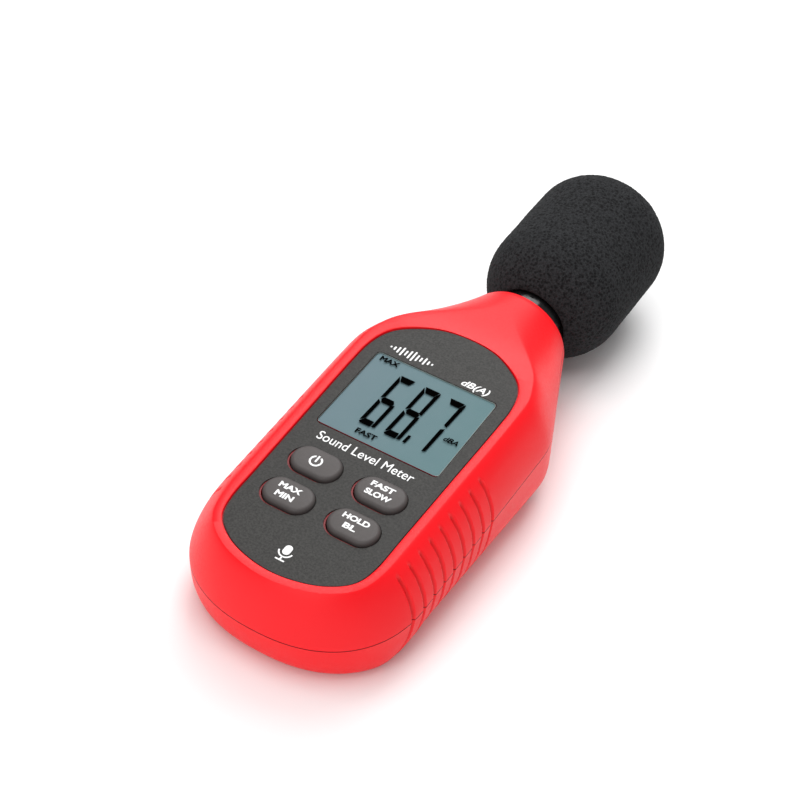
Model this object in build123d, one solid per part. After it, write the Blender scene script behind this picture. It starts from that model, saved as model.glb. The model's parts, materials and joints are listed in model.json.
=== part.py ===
"""Pocket sound level meter with a foam windscreen, as an assembly of separate pieces.

Everything is drawn in the face frame: X to the right, Y along the microphone axis, Z out of the
face panel, with z = 0 just above the parting plane of the two case shells. The back of the case is
a plane that is inclined to the face. set_down() turns every piece so that the back lies on z = 0.
"""
import os
from math import atan, cos, degrees, pi, radians, sin, sqrt

from build123d import *

# ---- Case outline (mm) ----
CASE_HALF_WIDTH = 26.2
CASE_BOTTOM_Y = -57.9
END_CENTRE_Y = -34.2
END_POWER = 2.3
SHOULDER_Y = 17.0
PARTING_Z = -1.7
TOP_END_Y = 25.0
BACK_END_Y = 38.0
COLLAR_Y = 50.0
COLLAR_RADIUS = 12.2
MIC_AXIS_Z = -7.8
RIM_Z = 9.9
BACK_Z_AT_CENTRE = -17.75
BACK_SLOPE = 0.11
TOP_EDGE_RADIUS = 6.4
BACK_EDGE_RADIUS = 10.5
WALL = 1.8
TILT = degrees(atan(BACK_SLOPE))

# ---- Face panel, window and keys (mm) ----
PANEL_FLOOR_Z = 9.2
PANEL_THICKNESS = 0.3
PANEL_GAP = 0.25
FRONT_WALL_Z = 7.4
WINDOW_WIDTH = 30.2
WINDOW_HEIGHT = 25.1
WINDOW_RADIUS = 1.2
LENS_LEDGE = 0.8
LENS_THICKNESS = 0.95
LENS_GAP = 0.18
LENS_TOP_Z = 9.56
KEY_X = 7.85
KEY_ROWS_Y = (-22.7, -32.85)
KEY_WIDTH = 11.6
KEY_HEIGHT = 7.2
KEY_TOP_Z = 10.6
KEY_GAP = 0.35
KEY_FLANGE = 0.8
KEY_FLANGE_Z = (6.3, 7.3)
KEY_STEM_RADIUS = 2.0
KEY_STEM_Z = 4.7

# ---- Display and board (mm) ----
BOARD_Z = 2.0
BOARD_THICKNESS = 1.2
BOARD_TOP_Z = BOARD_Z + BOARD_THICKNESS
BOARD_HALF_WIDTH = 17.1
BOARD_Y = (-49.0, 30.0)
BOARD_POST_RADIUS = 2.3
LED_Y = -17.0
LCD_SIZE = (33.2, 29.0, 2.0)
LCD_Z = 5.3
LCD_FRAME_WALL = 0.7
GUIDE_SIZE = (33.0, 24.2, 1.9)
ZEBRA_SIZE = (30.0, 1.8, LCD_Z - BOARD_TOP_Z)
BOARD_SCREWS = [(x, y) for x in (-13.6, 13.6) for y in (-42.5, 20.5)]
BOARD_SCREW_RADIUS = 1.0

# ---- Grips (mm) ----
GRIP_COUNT = 9
GRIP_PITCH = 3.84
GRIP_FIRST_Y = -9.9
GRIP_DEPTH = 0.55
GRIP_WIDTH = 0.9
GRIP_INNER_X = 21.8

# ---- Case screws (mm) ----
CASE_SCREWS = [(x, y) for x in (-20.4, 20.4) for y in (-38.0, 17.0)]
BOSS_RADIUS = 2.9
SCREW_RADIUS = 1.1
SCREW_HEAD_RADIUS = 2.1
SCREW_HEAD_HEIGHT = 1.4
SCREW_SHAFT = 12.0
SCREW_SEAT_DEPTH = 4.5
BOSS_MEETING_HEIGHT = 9.5

# ---- Microphone and windscreen (mm) ----
TUBE_RADIUS = 8.6
TUBE_COLLAR = 3.5
TUBE_Y = (COLLAR_Y - TUBE_COLLAR - 2.0, 83.0)
TUBE_WALL = 1.2
TUBE_FLANGE_RADIUS = 9.8
TUBE_FLANGE_LENGTH = 2.0
CAPSULE_RADIUS = 6.3
CAPSULE_LENGTH = 5.0
FOAM_RADIUS = 17.32
FOAM_Y = (52.85, 101.17)
FOAM_BASE_ROUND = 16.2
FOAM_TIP_ROUND = 12.5
FOAM_BORE_CLEARANCE = 0.05
FOAM_BORE_END_Y = 85.0
LEAD_RADIUS = 0.4

# ---- Batteries (AAA) and bay (mm), heights measured up from the back plane ----
CELL_RADIUS = 5.2
CELL_LENGTH = 43.3
CELL_NUB = 0.9
CELL_PITCH = 10.65
CELL_AXIS_HEIGHT = 7.2
CELL_START_Y = -45.0
BAY_Y = (-47.6, 1.8)
BAY_WALL = 1.1
BAY_ROOF_HEIGHT = 12.7
PLATE_THICKNESS = 0.4
TAIL_PLACES = [(-CELL_PITCH, BAY_Y[0] + 0.3), (CELL_PITCH, BAY_Y[1] - 0.3)]

# ---- Battery cover (mm) ----
COVER_HALF_WIDTH = 16.15
COVER_Y = (-46.0, 0.2)
COVER_THICKNESS = 1.6
COVER_GAP = 0.15
HOOK_X = (-CELL_PITCH / 2, CELL_PITCH / 2)
HOOK_WIDTH = 3.0

# ---- Rear label (mm) ----
LABEL_SIZE = (26.0, 14.0)
LABEL_Y = 14.0
LABEL_RECESS = 0.25

KEY_NAMES = ("power_key", "fast_slow_key", "max_min_key", "hold_key")


# ======================================================================= helpers
def prism(width, depth, height, centre=(0, 0), z=0.0):
    """A box that is centred in X and Y and starts at height z."""
    box = Box(width, depth, height, align=(Align.CENTER, Align.CENTER, Align.MIN))
    return Pos(centre[0], centre[1], z) * box


def span_box(x, y, z):
    """A box between the two values of each axis."""
    box = Box(x[1] - x[0], y[1] - y[0], z[1] - z[0], align=(Align.MIN,) * 3)
    return Pos(x[0], y[0], z[0]) * box


def post(radius, z_low, z_high, centre):
    """A round post along Z."""
    cylinder = Cylinder(radius, z_high - z_low, align=(Align.CENTER, Align.CENTER, Align.MIN))
    return Pos(centre[0], centre[1], z_low) * cylinder


def rod(radius, y_low, y_high, x=0.0, z=MIC_AXIS_Z):
    """A round rod along Y."""
    cylinder = Cylinder(radius, y_high - y_low, align=(Align.CENTER, Align.CENTER, Align.MIN))
    return Pos(x, y_low, z) * Rot(-90, 0, 0) * cylinder


def plate(sketch, z_low, z_high):
    """A flat sketch in X and Y, made solid between two heights."""
    return Pos(0, 0, z_low) * extrude(sketch, z_high - z_low)


def back_z(y):
    """Height of the back plane in the face frame."""
    return BACK_Z_AT_CENTRE - BACK_SLOPE * y


def on_back(y, height=0.0):
    """A location on the back plane: its Z leaves the back and points into the case."""
    return Pos(0, y, back_z(y)) * Rot(-TILT, 0, 0) * Pos(0, 0, height)


def turned(profile_edges):
    """A solid of revolution about the microphone axis from edges drawn as (radius, y)."""
    face = make_face(Polyline(*profile_edges, close=True))
    return revolve_on_axis(face)


def revolve_on_axis(face):
    """Turn a face, drawn with X as radius and Y along the axis, about the microphone axis."""
    return Pos(0, 0, MIC_AXIS_Z) * revolve(face, Axis.Y, 360)


# ======================================================================= case body
def end_point(inset, angle):
    """A point on the rounded bottom end, a superellipse; angles in degrees from the side."""
    turn = radians(angle)
    power = 2 / END_POWER
    return ((CASE_HALF_WIDTH - inset) * cos(turn)**power,
            END_CENTRE_Y + (CASE_BOTTOM_Y + inset - END_CENTRE_Y) * sin(turn)**power)


def plan_sketch(inset):
    """Case outline from above: parallel sides, a round bottom end, straight shoulders and a neck."""
    half = CASE_HALF_WIDTH - inset
    end = CASE_BOTTOM_Y + inset
    neck = COLLAR_RADIUS - inset
    slope = (half - neck) / (COLLAR_Y - SHOULDER_Y)
    bend_start, bend_end = SHOULDER_Y - 3.5, SHOULDER_Y + 3.5
    shoulder = (half - slope * (bend_end - SHOULDER_Y), bend_end)
    right = [
        Spline((0, end), end_point(inset, 70), end_point(inset, 52), end_point(inset, 36),
               end_point(inset, 18), (half, END_CENTRE_Y), tangents=[(1, 0), (0, 1)]),
        Line((half, END_CENTRE_Y), (half, bend_start)),
        Spline((half, bend_start), shoulder, tangents=[(0, 1), (-slope, 1)]),
        Line(shoulder, (neck, COLLAR_Y)),
        Line((neck, COLLAR_Y), (0, COLLAR_Y)),
    ]
    half_face = make_face(right + [Line((0, COLLAR_Y), (0, end))])
    return half_face + mirror(half_face, about=Plane.YZ)


def side_sketch(inset):
    """Case outline from the side: a flat top that falls to the collar, and the inclined back."""
    top = RIM_Z - inset
    collar_top = MIC_AXIS_Z + COLLAR_RADIUS - inset
    collar_low = MIC_AXIS_Z - COLLAR_RADIUS + inset
    start = CASE_BOTTOM_Y - 5.0
    lift = inset * sqrt(1 + BACK_SLOPE**2)
    edges = [
        Line((start, top), (TOP_END_Y, top)),
        Spline((TOP_END_Y, top), (COLLAR_Y, collar_top), tangents=[(1, 0), (1, -0.06)]),
        Line((COLLAR_Y, collar_top), (COLLAR_Y, collar_low)),
        Spline((COLLAR_Y, collar_low), (BACK_END_Y, back_z(BACK_END_Y) + lift),
               tangents=[(-1, -0.35), (-1, BACK_SLOPE)]),
        Line((BACK_END_Y, back_z(BACK_END_Y) + lift), (start, back_z(start) + lift)),
        Line((start, back_z(start) + lift), (start, top)),
    ]
    return make_face(edges)


def neck_limit(inset):
    """A turned shape that makes the neck round at the collar and lets go of the body below it."""
    radius = COLLAR_RADIUS - inset
    wide = 60.0
    profile = [
        Line((0, COLLAR_Y), (radius, COLLAR_Y)),
        Spline((radius, COLLAR_Y), (radius + 4.4, COLLAR_Y - 8.0), (radius + 10.5, COLLAR_Y - 16.0),
               (radius + 19.5, COLLAR_Y - 24.0), tangents=[(0.42, -1), (1.6, -1)]),
        Line((radius + 19.5, COLLAR_Y - 24.0), (wide, COLLAR_Y - 30.0)),
        Line((wide, COLLAR_Y - 30.0), (wide, CASE_BOTTOM_Y - 10.0)),
        Line((wide, CASE_BOTTOM_Y - 10.0), (0, CASE_BOTTOM_Y - 10.0)),
        Line((0, CASE_BOTTOM_Y - 10.0), (0, COLLAR_Y)),
    ]
    return revolve_on_axis(make_face(profile))


def case_body(inset=0.0):
    """The whole case as one solid, moved inward by the inset."""
    upright = plate(plan_sketch(inset), -30.0, 20.0)
    slab = extrude(Plane.YZ * side_sketch(inset), 40.0, both=True)
    body = upright & slab
    body = fillet(long_edges(body, above=True), TOP_EDGE_RADIUS - 0.5 * inset)
    body = fillet(long_edges(body, above=False), BACK_EDGE_RADIUS - inset)
    return body & neck_limit(inset)


def long_edges(body, above):
    """The edges that run round the top, or round the back, from the neck to the bottom end."""
    chosen = []
    for edge in body.edges():
        start, middle, end = edge @ 0, edge @ 0.5, edge @ 1
        level_in_y = edge.geom_type == GeomType.LINE and abs(start.Y - end.Y) < 0.1
        mirrored = abs(start.X + end.X) < 0.01 and middle.Y > 0
        at_side = abs(middle.X) > 0.8 * COLLAR_RADIUS or middle.Y < CASE_BOTTOM_Y + 1.0
        if level_in_y or mirrored or not at_side or middle.Y > COLLAR_Y - 0.5:
            continue
        if (middle.Z > MIC_AXIS_Z + COLLAR_RADIUS) == above and abs(middle.Z) > 3.0:
            chosen.append(edge)
    return chosen


def parting_region(upper):
    """The space above or below the parting surface, which dips beside the collar."""
    far = 45.0
    low_z = MIC_AXIS_Z + COLLAR_RADIUS * sin(radians(12.0))
    edge_z = far if upper else -far
    outline = Polyline((-80.0, PARTING_Z), (30.0, PARTING_Z), (COLLAR_Y, low_z), (60.0, low_z),
                       (60.0, edge_z), (-80.0, edge_z), close=True)
    return extrude(Plane.YZ * make_face(outline), far, both=True)


def grip_line(y):
    """Side view of one edge of a grip groove: upright, and swept forward at its upper end."""
    return Spline((y + 1.4, 9.6), (y + 0.35, 6.3), (y, 3.0), (y, -3.0), (y - 0.8, -6.5), (y - 1.9, -10.0))


def grip_bands():
    """Crescents in side view: one for each grip groove, as wide as the groove."""
    bands = []
    for index in range(GRIP_COUNT):
        y = GRIP_FIRST_Y - index * GRIP_PITCH
        ahead, behind = grip_line(y + GRIP_WIDTH / 2), grip_line(y - GRIP_WIDTH / 2)
        ends = [Line(ahead @ 0, behind @ 0), Line(ahead @ 1, behind @ 1)]
        bands.append(extrude(Plane.YZ * make_face([ahead, behind] + ends), 40.0, both=True))
    return bands


def grip_grooves(outer):
    """The material that the grip grooves remove from both sides of the case."""
    skin = outer - case_body(GRIP_DEPTH)
    sides = skin - span_box((-GRIP_INNER_X, GRIP_INNER_X), (-90, 90), (-60, 60))
    return [sides & band for band in grip_bands()]


def panel_sketch(growth=0.0):
    """Outline of the face panel: nearly straight sides, a domed top and a rounder bottom."""
    right = [
        Spline((0, -50.95 - growth), (9.1 + 0.6 * growth, -49.4 - 0.9 * growth),
               (17.1 + growth, -41.4), (17.4 + growth, -34.0), tangents=[(1, 0), (0.03, 1)]),
        Line((17.4 + growth, -34.0), (18.15 + growth, 10.0)),
        Spline((18.15 + growth, 10.0), (15.2 + 0.8 * growth, 20.0 + 0.7 * growth),
               (6.6 + 0.3 * growth, 25.3 + growth), (0, 26.2 + growth),
               tangents=[(0.03, 1), (-1, 0)]),
    ]
    half = make_face(right + [Line((0, 26.2 + growth), (0, -50.95 - growth))])
    return half + mirror(half, about=Plane.YZ)


def key_places():
    """Centres of the four keys, upper row first."""
    return [(x, y) for y in KEY_ROWS_Y for x in (-KEY_X, KEY_X)]


def key_outline(growth=0.0):
    """A key's outline, grown on all sides."""
    return SlotOverall(KEY_WIDTH + 2 * growth, KEY_HEIGHT + 2 * growth)


def face_openings(z_low, z_high):
    """Solids that cut the window and the four key holes."""
    window = RectangleRounded(WINDOW_WIDTH, WINDOW_HEIGHT, WINDOW_RADIUS)
    cuts = [plate(window, z_low, z_high)]
    for centre in key_places():
        cuts.append(plate(Pos(*centre) * key_outline(KEY_GAP), z_low, z_high))
    return cuts


def front_case(outer, inner, grooves):
    """Upper shell: rim, recess for the panel, window, key holes, bosses and board posts."""
    shell = outer - inner
    backing = plate(panel_sketch(1.0), FRONT_WALL_Z, PANEL_FLOOR_Z)
    shell = (shell + backing) & parting_region(True)
    shell -= plate(panel_sketch(PANEL_GAP), PANEL_FLOOR_Z, RIM_Z + 5)
    for cut in face_openings(FRONT_WALL_Z - 2, RIM_Z + 5):
        shell -= cut
    ledge = RectangleRounded(WINDOW_WIDTH + 2 * LENS_LEDGE, WINDOW_HEIGHT + 2 * LENS_LEDGE, WINDOW_RADIUS)
    shell -= plate(ledge, FRONT_WALL_Z - 1, FRONT_WALL_Z + LENS_THICKNESS + 0.05)
    for x, y in CASE_SCREWS:
        low = back_z(y) + BOSS_MEETING_HEIGHT
        shell += post(BOSS_RADIUS, low, FRONT_WALL_Z + 0.5, (x, y))
        shell -= post(SCREW_RADIUS + 0.02, low - 1, low + SCREW_SHAFT - SCREW_SEAT_DEPTH, (x, y))
    for x, y in BOARD_SCREWS:
        shell += post(BOARD_POST_RADIUS, BOARD_TOP_Z, FRONT_WALL_Z + 0.3, (x, y))
        shell -= post(BOARD_SCREW_RADIUS + 0.02, BOARD_TOP_Z - 1, BOARD_TOP_Z + 3.4, (x, y))
    shell -= rod(TUBE_RADIUS + 0.02, COLLAR_Y - 8, COLLAR_Y + 5)
    for groove in grooves:
        shell -= groove
    return one_solid(shell)


def rear_case(outer, inner, grooves):
    """Lower shell: battery bay, cover opening, screw pockets, label recess."""
    shell = (outer - inner) + (bay_walls() & outer)
    shell &= parting_region(False)
    for x, y in CASE_SCREWS:
        low = back_z(y)
        shell += post(BOSS_RADIUS, low + 2.0, low + BOSS_MEETING_HEIGHT, (x, y)) & outer
        shell -= post(SCREW_HEAD_RADIUS + 0.25, low - 3, low + BOSS_MEETING_HEIGHT - SCREW_SEAT_DEPTH, (x, y))
        shell -= post(SCREW_RADIUS + 0.2, low - 3, low + 20, (x, y))
    opening = back_box((-COVER_HALF_WIDTH - COVER_GAP, COVER_HALF_WIDTH + COVER_GAP),
                       (COVER_Y[0] - COVER_GAP, COVER_Y[1] + COVER_GAP), (-2, CELL_AXIS_HEIGHT))
    label_x = LABEL_SIZE[0] / 2 + 0.1
    label_y = LABEL_SIZE[1] / 2 + 0.1
    label = back_box((-label_x, label_x), (LABEL_Y - label_y, LABEL_Y + label_y), (-2, LABEL_RECESS))
    shell = shell - opening - label
    shell -= rod(TUBE_RADIUS + 0.02, COLLAR_Y - 8, COLLAR_Y + 5)
    for groove in grooves:
        shell -= groove
    return one_solid(shell)


def one_solid(shape):
    """The largest solid of a cut shape."""
    return max(shape.solids(), key=lambda solid: solid.volume)


def back_box(x, y, height):
    """A box that is square to the back plane; the heights are measured into the case."""
    return on_back(0) * span_box(x, y, height)


def bay_walls():
    """Walls and roof of the battery bay, open towards the cover."""
    x = COVER_HALF_WIDTH + COVER_GAP
    outside = back_box((-x - BAY_WALL, x + BAY_WALL), (BAY_Y[0] - BAY_WALL, BAY_Y[1] + BAY_WALL),
                       (0.9, BAY_ROOF_HEIGHT + BAY_WALL))
    inside = back_box((-x, x), BAY_Y, (-1, BAY_ROOF_HEIGHT))
    walls = outside - inside
    for contact_x, contact_y in TAIL_PLACES:
        walls -= back_box((contact_x - 1.3, contact_x + 1.3), (contact_y - 0.5, contact_y + 0.5), (8, 20))
    return walls


# ======================================================================= face pieces
def face_panel():
    """Printed overlay on the face, with the window and key holes."""
    sheet = plate(panel_sketch(), PANEL_FLOOR_Z, PANEL_FLOOR_Z + PANEL_THICKNESS)
    for cut in face_openings(PANEL_FLOOR_Z - 1, RIM_Z + 2):
        sheet -= cut
    return sheet


def display_lens():
    """Clear stepped window: a flange glued into the ledge, and a face that fills the opening."""
    width = WINDOW_WIDTH + 2 * LENS_LEDGE - 0.2
    height = WINDOW_HEIGHT + 2 * LENS_LEDGE - 0.2
    step_z = FRONT_WALL_Z + LENS_THICKNESS
    flange = plate(RectangleRounded(width, height, WINDOW_RADIUS), FRONT_WALL_Z, step_z)
    face = RectangleRounded(WINDOW_WIDTH - 2 * LENS_GAP, WINDOW_HEIGHT - 2 * LENS_GAP, WINDOW_RADIUS - LENS_GAP)
    return flange + plate(face, step_z, LENS_TOP_Z)


def key(centre):
    """A key: cap with a soft top edge, retaining flange and stem."""
    cap = plate(key_outline(), KEY_FLANGE_Z[1], KEY_TOP_Z)
    cap = fillet(cap.edges().group_by(Axis.Z)[-1], 0.6)
    flange = plate(key_outline(KEY_FLANGE), *KEY_FLANGE_Z)
    stem = post(KEY_STEM_RADIUS, KEY_STEM_Z, KEY_FLANGE_Z[0], (0, 0))
    return Pos(centre[0], centre[1], 0) * (cap + flange + stem)


# ======================================================================= display and board
def lcd_cell():
    """Two glass panes as one cell."""
    return prism(*LCD_SIZE, z=LCD_Z)


def lcd_frame():
    """Plastic frame round the display, standing on the board."""
    outside = prism(LCD_SIZE[0] + 0.2 + 2 * LCD_FRAME_WALL, LCD_SIZE[1] + 0.2 + 2 * LCD_FRAME_WALL,
                    LCD_Z + LCD_SIZE[2] - 0.1 - BOARD_TOP_Z, z=BOARD_TOP_Z)
    inside = prism(LCD_SIZE[0] + 0.2, LCD_SIZE[1] + 0.2, 20, z=BOARD_TOP_Z - 5)
    return outside - inside


def light_guide():
    """Diffuser behind the display."""
    return prism(*GUIDE_SIZE, z=BOARD_TOP_Z + 0.1)


def zebra_strip(side):
    """Elastomer strip between the display's edge and the board."""
    return prism(*ZEBRA_SIZE, centre=(0, side * 13.2), z=BOARD_TOP_Z)


def backlight_leds():
    """Two lamps beside the keypad end of the display frame."""
    return [prism(3.0, 1.2, 1.1, centre=(x, LED_Y), z=BOARD_TOP_Z) for x in (-8.0, 8.0)]


def main_board():
    """Circuit board with clearance holes for its screws."""
    width = 2 * BOARD_HALF_WIDTH
    length = BOARD_Y[1] - BOARD_Y[0]
    middle = (BOARD_Y[0] + BOARD_Y[1]) / 2
    board = plate(Pos(0, middle) * RectangleRounded(width, length, 1.5), BOARD_Z, BOARD_TOP_Z)
    for place in BOARD_SCREWS:
        board -= post(BOARD_SCREW_RADIUS + 0.15, BOARD_Z - 1, BOARD_TOP_Z + 1, place)
    return board


def board_screws():
    """Four small pan-head screws that hold the board to the front shell."""
    screws = []
    for place in BOARD_SCREWS:
        shaft = post(BOARD_SCREW_RADIUS, BOARD_Z, BOARD_TOP_Z + 3.0, place)
        head = post(1.9, BOARD_Z - 0.9, BOARD_Z, place)
        screw = shaft + head
        for width, depth in ((0.4, 2.4), (2.4, 0.4)):
            screw -= prism(width, depth, 0.4, centre=place, z=BOARD_Z - 0.9)
        screws.append(screw)
    return screws


def keypad_web():
    """Silicone sheet on the board with a hole round each dome."""
    web = prism(31.0, 19.0, 0.9, centre=(0, sum(KEY_ROWS_Y) / 2), z=BOARD_TOP_Z)
    for centre in key_places():
        web -= post(4.0, BOARD_TOP_Z - 1, BOARD_TOP_Z + 2, centre)
    return web


def key_domes():
    """Four snap domes under the key stems."""
    domes = []
    for x, y in key_places():
        disc = post(3.0, BOARD_TOP_Z, BOARD_TOP_Z + 0.4, (x, y))
        domes.append(fillet(disc.edges().group_by(Axis.Z)[-1], 0.3))
    return domes


def main_chip():
    """Processor under the board, above the battery bay's free end."""
    return prism(10.0, 10.0, 1.4, centre=(0, 12.0), z=BOARD_Z - 1.4)


def amplifier_chip():
    """Microphone amplifier near the board's top edge."""
    return prism(5.0, 4.0, 1.5, centre=(-8.0, 25.0), z=BOARD_Z - 1.5)


def board_capacitors():
    """Three round capacitors beside the processor."""
    return [post(2.0, BOARD_Z - 4.5, BOARD_Z, (x, y)) for x, y in ((5.2, 21.8), (9.2, 26.2), (-10.5, 12.0))]


def board_crystal():
    """Watch crystal in its can."""
    return fillet(prism(3.0, 8.0, 2.6, centre=(11.0, 12.0), z=BOARD_Z - 2.6).edges().filter_by(Axis.Y), 0.8)


# ======================================================================= microphone end
def mic_tube():
    """Tube that carries the capsule, held by its flange behind the collar."""
    outline = [(TUBE_RADIUS - TUBE_WALL, TUBE_Y[0]), (TUBE_FLANGE_RADIUS, TUBE_Y[0]),
               (TUBE_FLANGE_RADIUS, TUBE_Y[0] + TUBE_FLANGE_LENGTH), (TUBE_RADIUS, TUBE_Y[0] + TUBE_FLANGE_LENGTH),
               (TUBE_RADIUS, TUBE_Y[1]), (TUBE_RADIUS - TUBE_WALL, TUBE_Y[1])]
    return turned(outline)


def mic_grommet():
    """Rubber ring that holds the capsule inside the tube."""
    inner = CAPSULE_RADIUS
    outer = TUBE_RADIUS - TUBE_WALL
    low = TUBE_Y[1] - CAPSULE_LENGTH - 1.0
    return turned([(inner, low), (outer, low), (outer, TUBE_Y[1]), (inner, TUBE_Y[1])])


def mic_capsule():
    """Electret capsule."""
    return rod(CAPSULE_RADIUS, TUBE_Y[1] - CAPSULE_LENGTH - 0.6, TUBE_Y[1] - 0.6)


def mic_grille():
    """Perforated cap on the end of the tube."""
    cap = rod(TUBE_RADIUS, TUBE_Y[1], TUBE_Y[1] + 1.0)
    for ring_radius, count in ((0.0, 1), (2.4, 6), (4.8, 12)):
        for index in range(count):
            angle = 2 * pi * index / count
            x = ring_radius * cos(angle)
            z = MIC_AXIS_Z + ring_radius * sin(angle)
            cap -= rod(0.6, TUBE_Y[1] - 1, TUBE_Y[1] + 2, x, z)
    return cap


def mic_lead(x):
    """Insulated wire from the capsule to the underside of the board."""
    start_y = TUBE_Y[1] - CAPSULE_LENGTH - 0.6
    path = FilletPolyline((x, start_y, MIC_AXIS_Z), (x, 38.0, MIC_AXIS_Z), (x, 28.0, BOARD_Z - 5.0),
                          (x, 28.0, BOARD_Z), radius=3.0)
    return sweep(Plane(path @ 0, z_dir=path % 0) * Circle(LEAD_RADIUS), path)


def windscreen():
    """Foam windscreen: round base with a bore, straight middle, domed tip."""
    bore = TUBE_RADIUS + FOAM_BORE_CLEARANCE
    base, tip = FOAM_Y
    base_flat = FOAM_RADIUS - FOAM_BASE_ROUND
    tip_flat = FOAM_RADIUS - FOAM_TIP_ROUND
    mouth_y = base + FOAM_BASE_ROUND - sqrt(FOAM_BASE_ROUND**2 - (bore - base_flat)**2)
    diagonal = sqrt(0.5)
    base_arc = RadiusArc((bore, mouth_y), (FOAM_RADIUS, base + FOAM_BASE_ROUND), -FOAM_BASE_ROUND)
    tip_arc = ThreePointArc(
        (FOAM_RADIUS, tip - FOAM_TIP_ROUND),
        (tip_flat + FOAM_TIP_ROUND * diagonal, tip - FOAM_TIP_ROUND * (1 - diagonal)),
        (tip_flat, tip))
    rest = Polyline((tip_flat, tip), (0, tip), (0, FOAM_BORE_END_Y), (bore, FOAM_BORE_END_Y), (bore, mouth_y))
    side = Line((FOAM_RADIUS, base + FOAM_BASE_ROUND), (FOAM_RADIUS, tip - FOAM_TIP_ROUND))
    return revolve_on_axis(make_face([base_arc, side, tip_arc, rest]))


# ======================================================================= batteries
def battery(x, nub_up):
    """AAA cell along Y: body and terminal nub, turned over for every second cell."""
    length = CELL_LENGTH
    body_start = 0.0 if nub_up else CELL_NUB
    body = Cylinder(CELL_RADIUS, length, align=(Align.CENTER, Align.CENTER, Align.MIN))
    body = fillet(body.edges(), 0.5)
    nub = Cylinder(1.9, CELL_NUB, align=(Align.CENTER, Align.CENTER, Align.MIN))
    cell = Pos(0, 0, body_start) * body + Pos(0, 0, length if nub_up else 0.0) * nub
    return on_back(0) * Pos(x, CELL_START_Y, CELL_AXIS_HEIGHT) * Rot(-90, 0, 0) * cell


def contact_plate(x_low, x_high, y):
    """Flat spring-steel plate at one end of the bay."""
    return back_box((x_low, x_high), (y, y + PLATE_THICKNESS), (4.2, 10.6))


def contact_button(x, y_low, y_high):
    """Pressed button that meets a cell's nub."""
    return on_back(0) * Pos(x, y_low, CELL_AXIS_HEIGHT) * Rot(-90, 0, 0) * Cylinder(
        1.6, y_high - y_low, align=(Align.CENTER, Align.CENTER, Align.MIN))


def contact_spring(x, y_low, y_high):
    """Coil spring that meets a cell's flat end."""
    wire = 0.3
    height = y_high - y_low - 2 * wire - 0.06
    helix = Helix(height / 2, height, 2.6)
    coil = sweep(Plane(helix @ 0, z_dir=helix % 0) * Circle(wire), helix)
    return on_back(0) * Pos(x, y_low + wire + 0.03, CELL_AXIS_HEIGHT) * Rot(-90, 0, 0) * coil


def tail(place):
    """Strip that runs from a contact plate through the bay roof to the board."""
    x, y = place
    board_height = (BOARD_Z - back_z(y)) * cos(radians(TILT)) - 0.1
    return back_box((x - 1.0, x + 1.0), (y - PLATE_THICKNESS / 2, y + PLATE_THICKNESS / 2), (10.6, board_height))


def contacts():
    """The four contacts: both ends of the series circuit and the two bridges."""
    cell_end = CELL_START_Y + CELL_LENGTH + CELL_NUB
    low_plate_y = BAY_Y[0] + 0.1
    low_face = low_plate_y + PLATE_THICKNESS
    high_plate_y = BAY_Y[1] - 0.1 - PLATE_THICKNESS
    left, right = -CELL_PITCH, CELL_PITCH
    return {
        "contact_negative": [contact_plate(left - 3.6, left + 3.6, low_plate_y) + tail(TAIL_PLACES[0]),
                             contact_spring(left, low_face, CELL_START_Y)],
        "contact_bridge_lower": [contact_plate(-3.6, right + 3.6, low_plate_y)
                                 + contact_button(0, low_face, CELL_START_Y),
                                 contact_spring(right, low_face, CELL_START_Y)],
        "contact_bridge_upper": [contact_plate(left - 3.6, 3.6, high_plate_y)
                                 + contact_button(left, cell_end, high_plate_y),
                                 contact_spring(0, cell_end, high_plate_y)],
        "contact_positive": [contact_plate(right - 3.6, right + 3.6, high_plate_y) + tail(TAIL_PLACES[1])
                             + contact_button(right, cell_end, high_plate_y)],
    }


def battery_cover(outer):
    """Cover with two hooks at its lower edge, two latch beaks and a ribbed thumb patch."""
    cover = back_box((-COVER_HALF_WIDTH, COVER_HALF_WIDTH), COVER_Y, (-1, COVER_THICKNESS)) & outer
    for x in HOOK_X:
        side = (x - HOOK_WIDTH / 2, x + HOOK_WIDTH / 2)
        cover += back_box(side, (COVER_Y[0] + 0.1, COVER_Y[0] + 1.5), (COVER_THICKNESS - 0.2, 2.75))
        cover += back_box(side, (COVER_Y[0] - 1.2, COVER_Y[0] + 1.5), (1.95, 2.75))
        cover += back_box(side, (COVER_Y[1] - 1.5, COVER_Y[1] - 0.5), (COVER_THICKNESS - 0.2, 3.0))
    for index in range(4):
        y = COVER_Y[1] - 3.0 - 1.6 * index
        cover -= back_box((-6.0, 6.0), (y - 0.4, y + 0.4), (-1, 0.35))
    return one_solid(cover)


def case_screws():
    """Four pan-head screws that close the case from the back."""
    screws = []
    for x, y in CASE_SCREWS:
        seat = back_z(y) + BOSS_MEETING_HEIGHT - SCREW_SEAT_DEPTH
        shaft = post(SCREW_RADIUS, seat, seat + SCREW_SHAFT - 0.5, (x, y))
        head = post(SCREW_HEAD_RADIUS, seat - SCREW_HEAD_HEIGHT, seat, (x, y))
        screw = shaft + head
        for size in ((0.5, 2.6), (2.6, 0.5)):
            screw -= prism(size[0], size[1], 0.7, centre=(x, y), z=seat - SCREW_HEAD_HEIGHT)
        screws.append(screw)
    return screws


def rear_label():
    """Blank plate in the label recess of the back."""
    return back_box((-LABEL_SIZE[0] / 2, LABEL_SIZE[0] / 2),
                    (LABEL_Y - LABEL_SIZE[1] / 2, LABEL_Y + LABEL_SIZE[1] / 2), (0.05, LABEL_RECESS))


# ======================================================================= assembly
def set_down(shape):
    """Turn a piece from the face frame so that the back plane lies on z = 0."""
    return Rot(TILT, 0, 0) * Pos(0, 0, -BACK_Z_AT_CENTRE) * shape


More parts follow.
